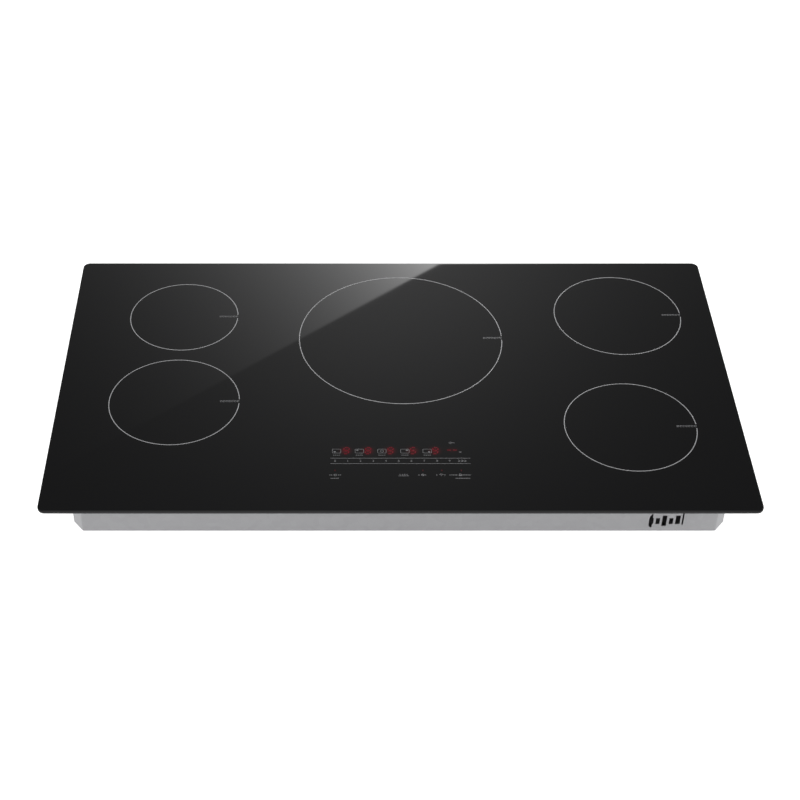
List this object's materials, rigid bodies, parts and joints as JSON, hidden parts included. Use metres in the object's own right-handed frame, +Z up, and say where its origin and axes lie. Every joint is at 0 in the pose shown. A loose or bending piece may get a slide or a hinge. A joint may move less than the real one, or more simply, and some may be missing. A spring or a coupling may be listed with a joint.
{
  "type": "induction cooktop",
  "caption": "Drop-in electric induction cooktop: a black glass-ceramic top over a shallow steel pan that holds the coils, power boards and cooling blowers.",
  "frame": {"origin": "on the surface that the pan stands on, under the middle of the cooktop", "axes": "+X towards the cook's right, along the width; +Y towards the back; +Z up, out of the glass"},
  "size_m": [0.933, 0.54, 0.065],
  "materials": {
    "black_glass": "polished black glass-ceramic, opaque",
    "foam": "dark grey closed-cell foam tape",
    "pan_steel": "light grey coated steel sheet, satin",
    "zinc_steel": "bright zinc-plated steel",
    "aluminium": "mill finish",
    "copper": "enamelled copper litz wire",
    "black_plastic": "glass-filled nylon, as moulded",
    "white_plastic": "as moulded",
    "ceramic": "pressed steatite, unglazed",
    "circuit_board": "green solder mask over glass-epoxy laminate",
    "ribbon": "flat PVC cable"
  },
  "bodies": {
    "cooktop": {"glass_top": "black_glass", "edge_gasket": "foam", "bottom_pan": "pan_steel", "junction_cover": "zinc_steel", "conduit_connector": "zinc_steel", "cover_screw": "zinc_steel", "terminal_block": "white_plastic", "glass_rail_left": "zinc_steel", "retaining_bracket_left": "zinc_steel", "bracket_screw_left": "zinc_steel", "clamp_screw_left": "zinc_steel", "case_screw_left_front": "zinc_steel", "case_screw_left_rear": "zinc_steel", "inverter_board_left": "circuit_board", "heat_sink_left": "aluminium", "fan_housing_left": "black_plastic", "fan_motor_left": "zinc_steel", "glass_rail_right": "zinc_steel", "retaining_bracket_right": "zinc_steel", "bracket_screw_right": "zinc_steel", "clamp_screw_right": "zinc_steel", "case_screw_right_front": "zinc_steel", "case_screw_right_rear": "zinc_steel", "inverter_board_right": "circuit_board", "heat_sink_right": "aluminium", "fan_housing_right": "black_plastic", "fan_motor_right": "zinc_steel", "coil_winding_left_rear": "copper", "coil_former_left_rear": "black_plastic", "temperature_sensor_left_rear": "ceramic", "coil_winding_left_front": "copper", "coil_former_left_front": "black_plastic", "temperature_sensor_left_front": "ceramic", "coil_winding_centre": "copper", "coil_former_centre": "black_plastic", "temperature_sensor_centre": "ceramic", "coil_winding_right_rear": "copper", "coil_former_right_rear": "black_plastic", "temperature_sensor_right_rear": "ceramic", "coil_winding_right_front": "copper", "coil_former_right_front": "black_plastic", "temperature_sensor_right_front": "ceramic", "coil_plate_left": "aluminium", "plate_spring_left_1": "zinc_steel", "plate_spring_left_2": "zinc_steel", "plate_spring_left_3": "zinc_steel", "coil_plate_centre": "aluminium", "plate_spring_centre_1": "zinc_steel", "plate_spring_centre_2": "zinc_steel", "plate_spring_centre_3": "zinc_steel", "coil_plate_right": "aluminium", "plate_spring_right_1": "zinc_steel", "plate_spring_right_2": "zinc_steel", "plate_spring_right_3": "zinc_steel", "filter_board": "circuit_board", "touch_carrier": "white_plastic", "touch_board": "circuit_board", "ribbon_cable": "ribbon"},
    "left_blower_wheel": {"fan_impeller_left": "black_plastic"},
    "right_blower_wheel": {"fan_impeller_right": "black_plastic"}
  },
  "joints": [
    {"name": "left_blower_spin", "type": "hinge", "parent": "cooktop", "child": "left_blower_wheel", "pos_m": [-0.345, -0.135, 0.015], "axis": [0, 0, 1], "continuous": true},
    {"name": "right_blower_spin", "type": "hinge", "parent": "cooktop", "child": "right_blower_wheel", "pos_m": [0.345, 0.135, 0.015], "axis": [0, 0, 1], "continuous": true}
  ]
}
